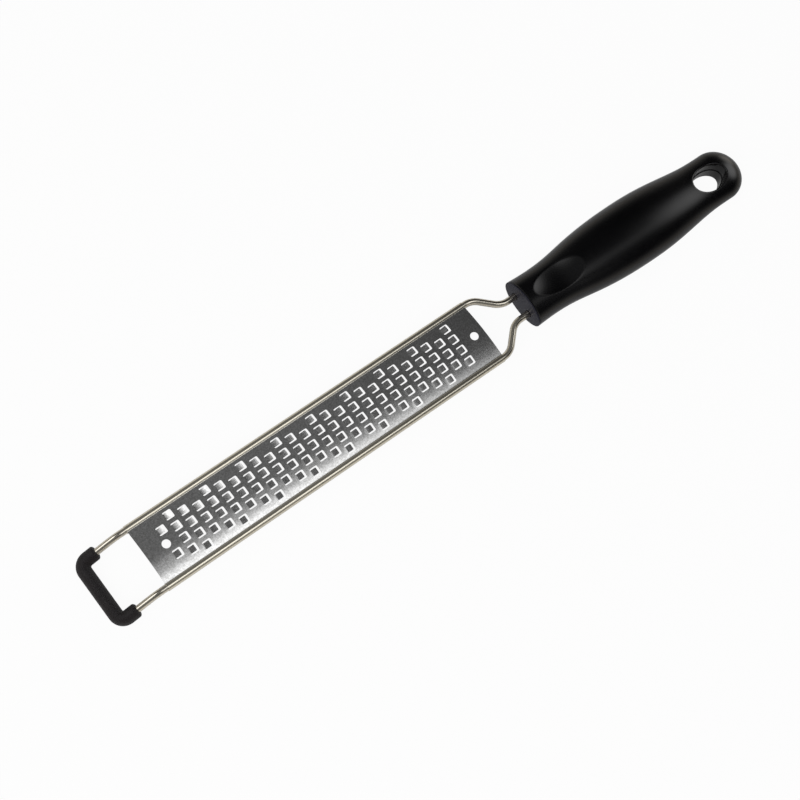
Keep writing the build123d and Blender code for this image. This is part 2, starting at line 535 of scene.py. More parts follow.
@dataclass(frozen=True)
class DrawnWire:
    """Bright-drawn 18/8 stainless rod, tumbled after bending.

    It gives the eye sharp, narrow highlights along the rod, a little warmer than
    the blade, over faint draw lines.
    """

    colour: str = "D8D2C4"
    roughness: float = 0.17
    roughness_swing: float = 0.06
    line_length: float = 22.0       # millimetres, along X
    line_width: float = 0.3         # drawn coarser than the real 0.02 mm, to show

    def material(self) -> Material:
        """Build the material.

        Returns:
            The material.
        """
        made, tree, shader = new_material("drawn_stainless_wire")
        place = add_node(tree, "TexCoord").outputs["Object"]
        grain = (self.line_length, self.line_width, self.line_width)
        lines = noise(tree, place, *grain, detail=4.0, roughness=0.55)
        rough = ranged(tree, lines, target=around(self.roughness, self.roughness_swing))
        settings = {"Metallic": 1.0, "Base Color": linear(self.colour), "Roughness": rough}
        set_up(tree, shader, settings)
        return made


@dataclass(frozen=True)
class MouldedPlastic:
    """Injection-moulded plastic or rubber with a spark-eroded mould grain.

    The grain gives the eye a soft, slightly mottled sheen in place of a mirror.
    """

    name: str
    colour: str
    roughness: float
    roughness_swing: float
    grain: float            # millimetres, drawn coarser than the real 0.1 mm, to show
    grain_depth: float      # millimetres
    smear: float = 9.0      # size of the handling marks in the sheen, millimetres
    ior: float = 1.49

    def material(self) -> Material:
        """Build the material.

        Returns:
            The material.
        """
        made, tree, shader = new_material(self.name)
        place = add_node(tree, "TexCoord").outputs["Object"]
        grain = noise(tree, place, self.grain, detail=2.0, roughness=0.5)
        smear = noise(tree, place, self.smear, detail=3.0, roughness=0.55)
        rough = ranged(tree, smear, target=around(self.roughness, self.roughness_swing))
        settings = {
            "Base Color": linear(self.colour),
            "IOR": self.ior,
            "Roughness": rough,
            "Normal": bump(tree, grain, self.grain_depth),
        }
        set_up(tree, shader, settings)
        return made


# Moulded synthetic rubber, straight from the press: a flat black with hardly a highlight.
FOOT_RUBBER = MouldedPlastic(
    "moulded_rubber", "0F0B0D", roughness=0.6, roughness_swing=0.08, grain=0.35, grain_depth=0.02
)

# ABS moulded in a smooth tool: a cool dark grey with a low, even sheen.
CAP_ABS = MouldedPlastic(
    "moulded_abs_cap",
    "1A1A24",
    roughness=0.42,
    roughness_swing=0.06,
    grain=0.4,
    grain_depth=0.008,
    ior=1.36,
)

# Polypropylene moulded in a spark-eroded tool: deep black with long, soft highlights.
GRIP_POLYPROPYLENE = MouldedPlastic(
    "grained_polypropylene",
    "020203",
    roughness=0.22,
    roughness_swing=0.03,
    grain=0.4,
    grain_depth=0.007,
)


@dataclass
class Blade:
    """Arched stainless sheet with punched teeth, both long edges hemmed round the rails."""

    start: float = -160.05
    length: float = 185.3
    rail_y: float = RAIL_Y
    rail_height: float = RAIL_HEIGHT
    thickness: float = 0.25
    camber: float = 1.27
    hem_radius: float = 1.77        # to the middle of the rolled sheet
    landing: float = 45.0           # where the sheet meets the hem, above the horizontal
    hem_sweep: float = 332.0
    hem_steps: int = 30
    fold_radius: float = 0.6        # small concave fold where the sheet meets a hem
    fold_steps: int = 6
    columns: int = 26
    column_pitch: float = 6.35
    row_pitch: float = 6.07
    first_column: float = 12.1      # from the blade's start
    window: float = 4.1
    tongue_width: float = 2.86
    tongue_length: float = 3.0
    tongue_lift: float = 11.0
    tongue_corner: float = 0.3
    pilot_radius: float = 2.0
    pilot_sides: int = 32
    tongue_bend: float = 0.5        # length of the bend at a tongue's root
    near_pilot: float = 10.2        # from the blade's start
    far_pilot: float = 179.8
    pilot_margin: float = 3.5       # from a pilot hole's middle to the grid lines beside it
    row_counts: tuple[int, int, int] = (4, 4, 3)    # windows per column, by its phase
    first_phase: int = 2            # of the column nearest the tip
    top_row: float = 5 / 3          # row pitches from the middle to the top row at phase 0
    unpunched: tuple[int, int] = (0, 1)             # column and row where a round hole is
    grid_lines: int = 7             # lines along the sheet on each side of its middle

    @property
    def landing_y(self) -> float:
        """Distance from the middle to the line where the sheet meets a hem."""
        return self.rail_y - self.hem_radius * math.cos(math.radians(self.landing))

    @property
    def arch_radius(self) -> float:
        """Radius of the arched sheet's middle."""
        return (self.landing_y**2 + self.camber**2) / (2 * self.camber)

    @property
    def arch_centre_z(self) -> float:
        """Height of the arch's centre."""
        landing_z = self.rail_height + self.hem_radius * math.sin(math.radians(self.landing))
        return landing_z + self.camber - self.arch_radius

    @property
    def fold_centre(self) -> Vector:
        """Find the middle of the fold at +Y, which touches the arch and the hem.

        Returns:
            Its Y and Z.
        """
        to_rail = Vector((self.rail_y, self.rail_height - self.arch_centre_z))
        to_arch = self.arch_radius + self.fold_radius
        to_hem = self.hem_radius + self.fold_radius
        share = (to_arch**2 + to_rail.length_squared - to_hem**2) / (2 * to_arch * to_rail.length)
        lean = math.atan2(to_rail.x, to_rail.y) - math.acos(share)
        return Vector((to_arch * math.sin(lean), self.arch_centre_z + to_arch * math.cos(lean)))

    @property
    def edge_y(self) -> float:
        """Distance from the middle to the line where the arch turns into a fold."""
        return self.fold_centre.x * self.arch_radius / (self.arch_radius + self.fold_radius)

    def windows(self) -> list[tuple[float, float]]:
        """List the middles of the punched windows on the flat sheet.

        Returns:
            X and Y of each; rows step by a third of a pitch from column to column.
        """
        phases = len(self.row_counts)
        places = []
        for column in range(self.columns):
            phase = (column + self.first_phase) % phases
            x = self.start + self.first_column + column * self.column_pitch
            for row in range(self.row_counts[phase]):
                if (column, row) != self.unpunched:
                    places.append((x, (self.top_row - row - phase / phases) * self.row_pitch))
        return places

    def flat_sheet(self, bm: BMesh) -> None:
        """Draw the flat sheet as a grid whose lines frame the windows and the holes.

        Args:
            bm: Empty mesh.
        """
        third = self.row_pitch / len(self.row_counts)
        lines = range(-self.grid_lines, self.grid_lines)
        across = [-self.edge_y] + [(line + 0.5) * third for line in lines] + [self.edge_y]
        along = [0.0, self.near_pilot - self.pilot_margin]
        along += [
            self.first_column + (column - 0.5) * self.column_pitch
            for column in range(self.columns + 1)
        ]
        along += [self.far_pilot + side * self.pilot_margin for side in (-1, 1)]
        along.append(self.length)
        first = bmesh.ops.create_vert(bm, co=(self.start, across[0], 0))["vert"]
        for here, there in zip(across, across[1:]):
            grown = bmesh.ops.extrude_vert_indiv(bm, verts=first)
            first = grown["verts"]
            bmesh.ops.translate(bm, verts=first, vec=Vector((0, there - here, 0)))
        rim = list(bm.edges)
        for here, there in zip(along, along[1:]):
            rim = push(bm, rim, Vector((there - here, 0, 0)))

    def open_frame(self, bm: BMesh, low: Vector, high: Vector) -> Edges:
        """Take out the faces inside a rectangle of the flat sheet.

        Args:
            bm: Flat sheet.
            low: Lowest X and Y of the rectangle.
            high: Highest X and Y.

        Returns:
            The edges round the opening.
        """
        inside = []
        for face in bm.faces:
            middle = face.calc_center_median()
            if low.x < middle.x < high.x and low.y < middle.y < high.y:
                inside.append(face)
        outline = [
            edge
            for edge in in_order(edge for face in inside for edge in face.edges)
            if sum(face in inside for face in edge.link_faces) == 1
        ]
        bmesh.ops.delete(bm, geom=inside, context="FACES")
        return outline

    def punch_window(self, bm: BMesh, x: float, y: float) -> None:
        """Punch one window and bend up the tongue at its side nearer the tip.

        Args:
            bm: Flat sheet.
            x: Middle of the window along the blade.
            y: Middle of the window across it.
        """
        half_cell = Vector((self.column_pitch / 2, self.row_pitch / 2))
        middle = Vector((x, y))
        outline = self.open_frame(bm, middle - half_cell, middle + half_cell)
        square = bmesh.ops.create_grid(
            bm,
            x_segments=1,
            y_segments=1,
            size=self.window / 2,
            matrix=Matrix.Translation((x, y, 0)),
        )["verts"]
        corner = (self.window - self.tongue_width) / 2
        hole = round_corners(bm, square, corner, steps=4)[0].link_faces[0]
        rim = list(hole.edges)
        bmesh.ops.delete(bm, geom=[hole], context="FACES_ONLY")
        fill_between(bm, outline + rim)
        hinge_x = x - self.window / 2
        hinge = [
            edge for edge in rim
            if all(abs(vert.co.x - hinge_x) < TOUCHING for vert in edge.verts)
        ]
        self.bend_tongue(bm, hinge)

    def bend_tongue(self, bm: BMesh, hinge: Edges) -> None:
        """Extrude a tongue from its hinge, rising at a steady angle after a short bend.

        Args:
            bm: Flat sheet.
            hinge: Edge of the window that the tongue hangs on.
        """
        bend, straight = self.tongue_bend, self.tongue_length - self.tongue_bend
        rim = hinge
        for length, lift in ((bend, self.tongue_lift / 2), (straight, self.tongue_lift)):
            angle = math.radians(lift)
            rim = push(bm, rim, length * Vector((math.cos(angle), 0, math.sin(angle))))
        round_corners(bm, rim_verts(rim), self.tongue_corner, steps=2)

    def drill_pilot(self, bm: BMesh, x: float, low_x: float, high_x: float) -> None:
        """Cut one of the two round holes on the blade's middle line.

        Args:
            bm: Flat sheet.
            x: Middle of the hole.
            low_x: Lowest X of the grid cells that it replaces.
            high_x: Highest X of them.
        """
        half = self.row_pitch / 2
        outline = self.open_frame(bm, Vector((low_x, -half)), Vector((high_x, half)))
        place = Matrix.Translation((x, 0, 0))
        fill_between(bm, outline + circle_rim(bm, self.pilot_radius, self.pilot_sides, place))

    def arch(self, bm: BMesh) -> None:
        """Bend the flat sheet and its tongues onto the arch.

        Args:
            bm: Flat sheet with its tongues.
        """
        for vert in bm.verts:
            lean = vert.co.y / self.arch_radius
            upright = math.sqrt(1 - lean**2)
            lift = vert.co.z
            vert.co.z = self.arch_centre_z + (self.arch_radius + lift) * upright
            vert.co.y += lift * lean

    def roll_hem(self, bm: BMesh, side: RailSide) -> None:
        """Fold one long edge of the sheet up and roll it over and round its rail.

        Args:
            bm: Arched sheet.
            side: Which rail.
        """
        edge_y = side.value * self.edge_y
        border = [
            edge for edge in bm.edges
            if edge.is_boundary
            and all(abs(vert.co.y - edge_y) < TOUCHING for vert in edge.verts)
        ]
        fold = self.fold_centre
        rail = Vector((self.rail_y, self.rail_height))
        down = Vector((0, self.arch_centre_z)) - fold
        start = math.degrees(math.atan2(fold.y - rail.y, rail.x - fold.x))
        folded = bmesh.ops.spin(
            bm,
            geom=border,
            cent=Vector((0, side.value * fold.x, fold.y)),
            axis=Vector((side.value, 0, 0)),
            angle=down.angle(rail - fold),
            steps=self.fold_steps,
        )
        bmesh.ops.spin(
            bm,
            geom=edges_of(folded["geom_last"]),
            cent=Vector((0, side.value * rail.x, rail.y)),
            axis=Vector((-side.value, 0, 0)),
            angle=math.radians(self.hem_sweep + self.landing - start),
            steps=self.hem_steps,
        )

    def build(self, finish: RolledStainless) -> Object:
        """Build the blade and dress it.

        Args:
            finish: Sheet steel's finish.

        Returns:
            The finished piece.
        """
        bm = bmesh.new()
        self.flat_sheet(bm)
        for x, y in self.windows():
            self.punch_window(bm, x, y)
        near, far = self.start + self.near_pilot, self.start + self.far_pilot
        reach = 2 * self.pilot_radius
        cell_end = self.start + self.first_column + self.column_pitch / 2
        self.drill_pilot(bm, near, near - reach, cell_end)
        self.drill_pilot(bm, far, far - reach, far + reach)
        bmesh.ops.remove_doubles(bm, verts=bm.verts, dist=TOUCHING)
        self.arch(bm)
        for side in RailSide:
            self.roll_hem(bm, side)
        bmesh.ops.recalc_face_normals(bm, faces=bm.faces)
        settings = {"thickness": self.thickness, "offset": 0.0, "use_even_offset": True}
        shell = applied(as_mesh(bm, "sheet"), ("SOLIDIFY", settings))
        return finish_piece(shell, "punched_blade", "blade", finish.material())


@dataclass
class WireFrame:
    """One bent rod: the tip's U, the two rails, and the neck that runs into the cap."""

    radius: float = 1.625
    tip_x: float = TIP_X
    tip_height: float = 3.3         # the foot's radius, as the foot stands on the table
    rail_y: float = RAIL_Y
    rail_height: float = RAIL_HEIGHT
    down_turn_x: float = DOWN_TURN_X
    down_turn_radius: float = 18.0
    corner_radius: float = TIP_CORNER
    neck_turns: tuple[float, float] = (29.94, 40.4925)
    neck_skew: float = 0.3          # far wire's turns lie nearer the grip, the near one's further
    neck_radius: float = 9.5
    neck_y: tuple[float, float] = WIRE_ENDS_Y
    end_x: float = 72.6

    def turns(self) -> list[Bend]:
        """List the rod's turns from its far end round the tip to its near end."""
        far = self.side_turns(RailSide.FAR)
        return far + list(reversed(self.side_turns(RailSide.NEAR)))

    def side_turns(self, side: RailSide) -> list[Bend]:
        """List the turns of one half of the rod.

        Args:
            side: Which half.

        Returns:
            Its turns, from the cap to the tip.
        """
        rail = side.value * self.rail_y
        end = self.neck_y[0 if side is RailSide.NEAR else 1]
        outer_x, inner_x = (x + side.value * self.neck_skew for x in self.neck_turns)
        return [
            Bend(Vector((inner_x, end, self.rail_height)), self.neck_radius),
            Bend(Vector((outer_x, rail, self.rail_height)), self.neck_radius),
            Bend(Vector((self.down_turn_x, rail, self.rail_height)), self.down_turn_radius),
            Bend(Vector((self.tip_x, rail, self.tip_height)), self.corner_radius),
        ]

    def build(self, finish: DrawnWire) -> Object:
        """Build the rod and dress it.

        Args:
            finish: Wire's finish.

        Returns:
            The finished piece.
        """
        bm = bmesh.new()
        rims = bent_tube(
            bm,
            Vector((self.end_x, self.neck_y[1], self.rail_height)),
            self.turns(),
            Vector((self.end_x, self.neck_y[0], self.rail_height)),
            self.radius,
        )
        for rim in rims:
            bmesh.ops.edgeloop_fill(bm, edges=rim)
        bmesh.ops.recalc_face_normals(bm, faces=bm.faces)
        return finish_piece(bm, "bent_wire", "wire_frame", finish.material())


@dataclass
class TipFoot:
    """Rubber sleeve round the frame's tip."""

    radius: float = 3.3
    bore: float = 1.645
    tip_x: float = TIP_X
    rail_y: float = RAIL_Y
    rise_x: float = DOWN_TURN_X
    rise_z: float = RAIL_HEIGHT
    arm: float = 9.0
    corner_radius: float = TIP_CORNER
    end_round: float = 1.1
    round_steps: int = 5
    sides: int = 40
    crease: float = 50.0            # degrees; sharper edges stay sharp

    def build(self, finish: MouldedPlastic) -> Object:
        """Build the sleeve and dress it.

        Args:
            finish: Rubber's finish.

        Returns:
            The finished piece.
        """
        bm = bmesh.new()
        corner = Vector((self.tip_x, self.rail_y, self.radius))
        arm_way = (Vector((self.rise_x, self.rail_y, self.rise_z)) - corner).normalized()
        flip = Vector((1, -1, 1))
        bends = [Bend(corner, self.corner_radius), Bend(corner * flip, self.corner_radius)]
        round_start = corner + arm_way * (self.arm - self.end_round)
        skin = bent_tube(bm, round_start, bends, round_start * flip, self.radius, self.sides)
        arm_end = corner + arm_way * self.arm
        bore = bent_tube(bm, arm_end, bends, arm_end * flip, self.bore, self.sides)
        for outer, inner, way, centre in (
            (skin[0], bore[0], arm_way, round_start),
            (skin[1], bore[1], arm_way * flip, round_start * flip),
        ):
            rounded = self.round_end(bm, outer, way, centre)
            bmesh.ops.bridge_loops(bm, edges=rounded + inner)
        bmesh.ops.recalc_face_normals(bm, faces=bm.faces)
        return finish_piece(
            bm, "rubber_foot", "tip_foot", finish.material(), self.crease
        )

    def round_end(self, bm: BMesh, rim: Edges, way: Vector, centre: Vector) -> Edges:
        """Round the sleeve's end from its skin towards the wire.

        Args:
            bm: Sleeve's mesh.
            rim: Rim of the skin.
            way: Direction out of the sleeve.
            centre: Middle of that rim.

        Returns:
            The last rim of the rounding.
        """
        reach, radius = 0.0, self.radius
        for next_reach, inset in quarter_round(self.end_round, self.round_steps):
            next_radius = self.radius - inset
            rim = push(bm, rim, way * (next_reach - reach))
            scale = Vector((next_radius / radius,) * 3)
            resize(bm, rim, centre + way * next_reach, scale)
            reach, radius = next_reach, next_radius
        return rim


@dataclass(frozen=True)
class Section:
    """One upright oval section of the grip or the cap."""

    x: float
    centre: float
    half_width: float
    half_height: float

    def inset(self, depth: float) -> "Section":
        """Return the same section drawn in by a depth."""
        return Section(self.x, self.centre, self.half_width - depth, self.half_height - depth)

    def at(self, x: float) -> "Section":
        """Return the same section at another X."""
        return Section(x, self.centre, self.half_width, self.half_height)


def first_section(bm: BMesh, section: Section, sides: int) -> Edges:
    """Draw one section as a rim of edges.

    Args:
        bm: Mesh to draw in.
        section: Size and place of the oval.
        sides: Number of edges.

    Returns:
        The rim.
    """
    stretch = Matrix.Diagonal((1, section.half_width, section.half_height, 1))
    place = Matrix.Translation((section.x, 0, section.centre))
    return circle_rim(bm, 1, sides, place @ stretch @ FACING_X)


def loft(bm: BMesh, rim: Edges, sections: Sequence[Section]) -> Edges:
    """Extrude a rim through a row of sections.

    Args:
        bm: Mesh that holds the rim.
        rim: Rim at the first section.
        sections: The row, from the rim's own section on.

    Returns:
        The rim at the last section.
    """
    for here, there in zip(sections, sections[1:]):
        rim = push(bm, rim, Vector((there.x - here.x, 0, there.centre - here.centre)))
        wider = there.half_width / here.half_width
        higher = there.half_height / here.half_height
        resize(bm, rim, Vector((there.x, 0, there.centre)), Vector((1, wider, higher)))
    return rim


class SmoothCurve:
    """Curve of continuous curvature through a list of points."""

    def __init__(self, knots: Sequence[float], values: Sequence[float]) -> None:
        """Work out the slope at each point.

        Args:
            knots: Rising places of the points.
            values: Curve's value at each of them.
        """
        self.knots, self.values = list(knots), list(values)
        last = len(self.knots) - 1
        gaps = [b - a for a, b in zip(self.knots, self.knots[1:])]
        rises = [(b - a) / gap for a, b, gap in zip(self.values, self.values[1:], gaps)]
        self.slopes = [0.0] * (last + 1)
        settle_rounds = 40
        for _ in range(settle_rounds):
            for at in range(last + 1):
                pull, weight = 0.0, 0.0
                if at > 0:
                    pull += (3 * rises[at - 1] - self.slopes[at - 1]) / gaps[at - 1]
                    weight += 2 / gaps[at - 1]
                if at < last:
                    pull += (3 * rises[at] - self.slopes[at + 1]) / gaps[at]
                    weight += 2 / gaps[at]
                self.slopes[at] = pull / weight

    def at(self, place: float) -> float:
        """Return the curve's value at a place.

        Args:
            place: Where to read it, between the first and last knots.

        Returns:
            The value there.
        """
        last = len(self.knots) - 2
        span = next((i for i in range(last) if place < self.knots[i + 1]), last)
        gap = self.knots[span + 1] - self.knots[span]
        t = (place - self.knots[span]) / gap
        return (
            (1 + 2 * t) * (1 - t) ** 2 * self.values[span]
            + t * (1 - t) ** 2 * gap * self.slopes[span]
            + t**2 * (3 - 2 * t) * self.values[span + 1]
            + t**2 * (t - 1) * gap * self.slopes[span + 1]
        )


@dataclass
class HandleCap:
    """End piece over the grip's mouth, with a hole for each of the frame's two ends."""

    face_x: float = 48.7
    thickness: float = 0.9
    face_round: float = 0.25
    round_steps: int = 6
    seam: float = 0.35
    half_width: float = 12.404
    half_height: float = 7.997
    centre: float = 11.603
    wire_y: tuple[float, float] = WIRE_ENDS_Y
    wire_z: float = RAIL_HEIGHT
    hole_radius: float = 1.655
    countersink: float = 0.4
    sides: int = 96
    hole_sides: int = 32

    def build(self, finish: MouldedPlastic) -> Object:
        """Build the cap and dress it.

        Args:
            finish: Plastic's finish.

        Returns:
            The finished piece.
        """
        bm = bmesh.new()
        back_x = self.face_x + self.thickness
        full = Section(back_x, self.centre, self.half_width, self.half_height)
        front_x = self.face_x + self.face_round
        sections = [full.inset(self.seam), full.at(back_x - self.seam), full.at(front_x)]
        for reach, inset in quarter_round(self.face_round, self.round_steps):
            sections.append(full.inset(inset).at(front_x - reach))
        back = first_section(bm, sections[0], self.sides)
        rim = loft(bm, back, sections)
        face_holes, back_holes = [], []
        for wire_y in self.wire_y:
            wide = self.hole_radius + self.countersink
            start = Vector((self.face_x, wire_y, self.wire_z))
            place = Matrix.Translation(start) @ FACING_X
            hole = circle_rim(bm, wide, self.hole_sides, place)
            face_holes += hole
            hole = push(bm, hole, Vector((self.countersink, 0, 0)))
            narrow = self.hole_radius / wide
            resize(bm, hole, start, Vector((1, narrow, narrow)))
            back_holes += push(bm, hole, Vector((self.thickness - self.countersink, 0, 0)))
        fill_between(bm, rim + face_holes)
        fill_between(bm, back + back_holes)
        bmesh.ops.recalc_face_normals(bm, faces=bm.faces)
        return finish_piece(bm, "mouth_cap", "handle_cap", finish.material())


@dataclass
class Grip:
    """Hollow moulded grip with a domed tail, a thumb rest and a hanging hole."""

    start: float = 49.6
    length: float = 123.71          # mouth to the middle of the tail's dome
    width: float = 33.3
    height: float = 19.6
    seam: float = 0.4
    wall: float = 2.9
    cavity_length: float = 98.95
    cavity_steps: int = 14
    sides: int = 144
    step: float = 0.6               # between the body's sections
    dome_steps: int = 30
    dish_x: float = 68.95
    dish_shift: float = 0.6
    dish_length: float = 29.0
    dish_depth: float = 1.8
    dish_sweep: float = 34.0
    dish_blend: float = 0.15
    hole_x: float = 166.65
    hole_length: float = 19.6
    hole_width: float = 12.6
    hole_draft: float = 3.0
    hole_ledge: float = 0.35
    hole_rounds: tuple[float, float] = (0.3, 0.8)       # underside, top
    rim_steps: int = 6
    under_shrink: float = 0.75      # how far the mouth at the underside is drawn in
    hole_sides: int = 96
    hole_match: float = 0.01        # share by which a point on the wall may miss the oval
    cut_overlap: float = 0.5        # how far the lower cutter reaches past the parting line
    crease: float = 40.0            # degrees; sharper edges stay sharp
    # Place along the grip, then its width, top and underside there, as shares of the full sizes.
    shares: tuple[tuple[float, float, float, float], ...] = (
        (0.00, 0.745, 1.000, 0.184),
        (0.06, 0.726, 0.993, 0.188),
        (0.17, 0.757, 0.988, 0.166),
        (0.27, 0.862, 0.985, 0.110),
        (0.40, 0.966, 0.976, 0.030),
        (0.53, 1.000, 0.950, 0.000),
        (0.66, 0.974, 0.888, 0.000),
        (0.80, 0.863, 0.779, 0.012),
        (0.90, 0.788, 0.697, 0.018),
        (1.00, 0.777, 0.655, 0.010),
    )

    def __post_init__(self) -> None:
        """Fit a smooth curve through each column of the table of shares."""
        places, widths, tops, unders = zip(*self.shares)
        self.width_curve = SmoothCurve(places, widths)
        self.top_curve = SmoothCurve(places, tops)
        self.under_curve = SmoothCurve(places, unders)

    @property
    def tail_x(self) -> float:
        """X of the middle of the tail's dome."""
        return self.start + self.length

    @property
    def parting_z(self) -> float:
        """Height of the mould's parting line at the tail."""
        return self.section(self.tail_x).centre

    def section(self, x: float) -> Section:
        """Work out the grip's section, in the body or in the dome.

        Args:
            x: Where along the grip.

        Returns:
            The section there.
        """
        share = min((x - self.start) / self.length, 1.0)
        half_width = self.width_curve.at(share) * self.width / 2
        top = self.top_curve.at(share) * self.height
        under = max(self.under_curve.at(share), 0.0) * self.height
        shrink = 1.0
        if x > self.tail_x:
            shrink = math.sqrt(max(1 - ((x - self.tail_x) / half_width) ** 2, 0.0))
        return Section(x, (top + under) / 2, half_width * shrink, (top - under) / 2 * shrink)

    def skin_height(self, x: float, y: float, skin: Skin) -> float:
        """Height of the grip's skin over a point of the table.

        Args:
            x: Place along the grip.
            y: Place across it.
            skin: Top or underside.

        Returns:
            The height there.
        """
        section = self.section(x)
        upright = math.sqrt(max(1 - (y / section.half_width) ** 2, 0.0))
        return section.centre + skin.value * section.half_height * upright

    def outer_stations(self) -> list[float]:
        """List the places of the sections, closer together round the dome.

        Returns:
            The X of each.
        """
        body_length = self.length - self.seam
        count = round(body_length / self.step)
        body = [self.start + self.seam + i * body_length / count for i in range(count + 1)]
        radius = self.section(self.tail_x).half_width
        dome = [
            self.tail_x + radius * math.sin(math.radians(90 * step / self.dome_steps))
            for step in range(1, self.dome_steps)
        ]
        return body + dome

    def press_thumb_rest(self, bm: BMesh) -> None:
        """Press the shallow thumb rest into the grip's top.

        Args:
            bm: Closed grip.
        """
        floor = self.section(self.dish_x).centre + self.section(self.dish_x).half_height
        floor -= self.dish_depth
        curve = ((self.dish_length / 2) ** 2 + self.dish_depth**2) / (2 * self.dish_depth)
        axis_z = floor + self.dish_sweep
        for vert in bm.verts:
            off_x, off_y = vert.co.x - self.dish_x, vert.co.y - self.dish_shift
            if abs(off_x) > self.dish_length or vert.co.z < self.section(vert.co.x).centre:
                continue
            profile = floor + curve - math.sqrt(curve**2 - off_x**2)
            sweep = axis_z - profile
            dish = axis_z - math.sqrt(max(sweep**2 - off_y**2, 0.0))
            vert.co.z = self.blend_down(vert.co.z, dish)

    def blend_down(self, skin: float, dish: float) -> float:
        """Take the lower of two heights, with a rounded crest where they cross.

        Args:
            skin: Height of the grip's skin.
            dish: Height of the thumb rest.

        Returns:
            The blended height.
        """
        near = max(self.dish_blend - abs(skin - dish), 0.0) / self.dish_blend
        return min(skin, dish) - near**2 * self.dish_blend / 4

    def hole_size(self, skin: Skin, grow: float) -> tuple[float, float]:
        """Half length and half width of the hanging hole at one mouth, grown by a distance."""
        if skin is Skin.UNDER:
            grow -= self.under_shrink
        return self.hole_length / 2 + grow, self.hole_width / 2 + grow

    def rim_round(self, skin: Skin) -> float:
        """Radius of the hole's rim at one skin."""
        return self.hole_rounds[0 if skin is Skin.UNDER else 1]

    def hole_cutter(self, skin: Skin) -> Object:
        """Make the tool that opens the hole from one skin to the parting line or just past it.

        Args:
            skin: Side that it comes from.

        Returns:
            The tool.
        """
        half_length, half_width = self.hole_size(skin, self.rim_round(skin))
        overlap = self.cut_overlap if skin is Skin.UNDER else 0.0
        middle = self.parting_z + skin.value * (self.height - overlap)
        stretch = Matrix.Diagonal((half_length, half_width, self.height, 1))
        cutter = bmesh.new()
        bmesh.ops.create_cone(
            cutter,
            cap_ends=True,
            segments=self.hole_sides,
            radius1=1,
            radius2=1,
            depth=2,
            matrix=Matrix.Translation((self.hole_x, 0, middle)) @ stretch,
        )
        return as_object("hole_cutter", as_mesh(cutter, "hole_cutter"))

    def is_on_hole(self, place: Vector) -> bool:
        """Tell whether a point lies on the cut wall of either half of the hole.

        Args:
            place: The point.

        Returns:
            Whether it does.
        """
        for skin in Skin:
            half_length, half_width = self.hole_size(skin, self.rim_round(skin))
            off = ((place.x - self.hole_x) / half_length) ** 2 + (place.y / half_width) ** 2
            if abs(off - 1) < self.hole_match:
                return True
        return False

    def cut_hole(self, mesh: Mesh) -> BMesh:
        """Cut the hanging hole as wide as its rounded rims.

        Args:
            mesh: Closed grip.

        Returns:
            The grip with two open rims.
        """
        tools = [self.hole_cutter(skin) for skin in Skin]
        cuts = [
            ("BOOLEAN", {"operation": "DIFFERENCE", "object": tool, "solver": "EXACT"})
            for tool in tools
        ]
        bm = applied(mesh, *cuts)
        for tool in tools:
            spent = tool.data
            bpy.data.objects.remove(tool)
            bpy.data.meshes.remove(spent)
        wall = [face for face in bm.faces if all(self.is_on_hole(vert.co) for vert in face.verts)]
        bmesh.ops.delete(bm, geom=wall, context="FACES")
        return bm

    def line_hole(self, bm: BMesh) -> None:
        """Round the hole's rims and line it with drafted walls that meet at a small ledge.

        Args:
            bm: Grip's mesh, with the hole's two rims open.
        """
        open_edges = [edge for edge in bm.edges if edge.is_boundary]
        meeting = []
        for skin in Skin:
            rim = [
                edge for edge in open_edges
                if (edge.verts[0].co.z - self.parting_z) * skin.value > 0
            ]
            rim = self.round_rim(bm, rim, skin)
            meeting += self.draw_wall(bm, rim, skin)
        bmesh.ops.bridge_loops(bm, edges=meeting)

    def round_rim(self, bm: BMesh, rim: Edges, skin: Skin) -> Edges:
        """Roll the skin over into the hole.

        Args:
            bm: Grip's mesh.
            rim: Rim on the skin.
            skin: Side that it lies on.

        Returns:
            The rim at the top of the wall.
        """
        steps = self.rim_steps
        wide = self.hole_size(skin, self.rim_round(skin))
        narrow = self.hole_size(skin, 0.0)
        for step in range(1, steps + 1):
            t = step / steps
            spot = self.hole_size(skin, self.rim_round(skin) * (1 - (step - 1) / steps) ** 2)
            rim = push(bm, rim, Vector((0, 0, 0)))
            for vert in rim_verts(rim):
                angle = math.atan2(vert.co.y * spot[0], (vert.co.x - self.hole_x) * spot[1])
                ring = [
                    (self.hole_x + size[0] * math.cos(angle), size[1] * math.sin(angle))
                    for size in (wide, narrow)
                ]
                outer = Vector((*ring[0], self.skin_height(*ring[0], skin)))
                crest = Vector((*ring[1], self.skin_height(*ring[1], skin)))
                inner = crest - Vector((0, 0, skin.value * self.rim_round(skin)))
                vert.co = (1 - t) ** 2 * outer + 2 * t * (1 - t) * crest + t**2 * inner
        return rim

    def draw_wall(self, bm: BMesh, rim: Edges, skin: Skin) -> Edges:
        """Draw the drafted wall from a rim to the parting line.

        Args:
            bm: Grip's mesh.
            rim: Rim at the mouth of the wall.
            skin: Side that the wall opens to.

        Returns:
            The rim at the parting line.
        """
        depth = self.section(self.tail_x).half_height
        narrowing = depth * math.tan(math.radians(self.hole_draft))
        if skin is Skin.UNDER:
            narrowing += self.hole_ledge
        rim = push(bm, rim, Vector((0, 0, 0)))
        mouth, throat = self.hole_size(skin, 0.0), self.hole_size(Skin.TOP, -narrowing)
        for vert in rim_verts(rim):
            vert.co.x = self.hole_x + (vert.co.x - self.hole_x) * throat[0] / mouth[0]
            vert.co.y *= throat[1] / mouth[1]
            vert.co.z = self.parting_z
        return rim

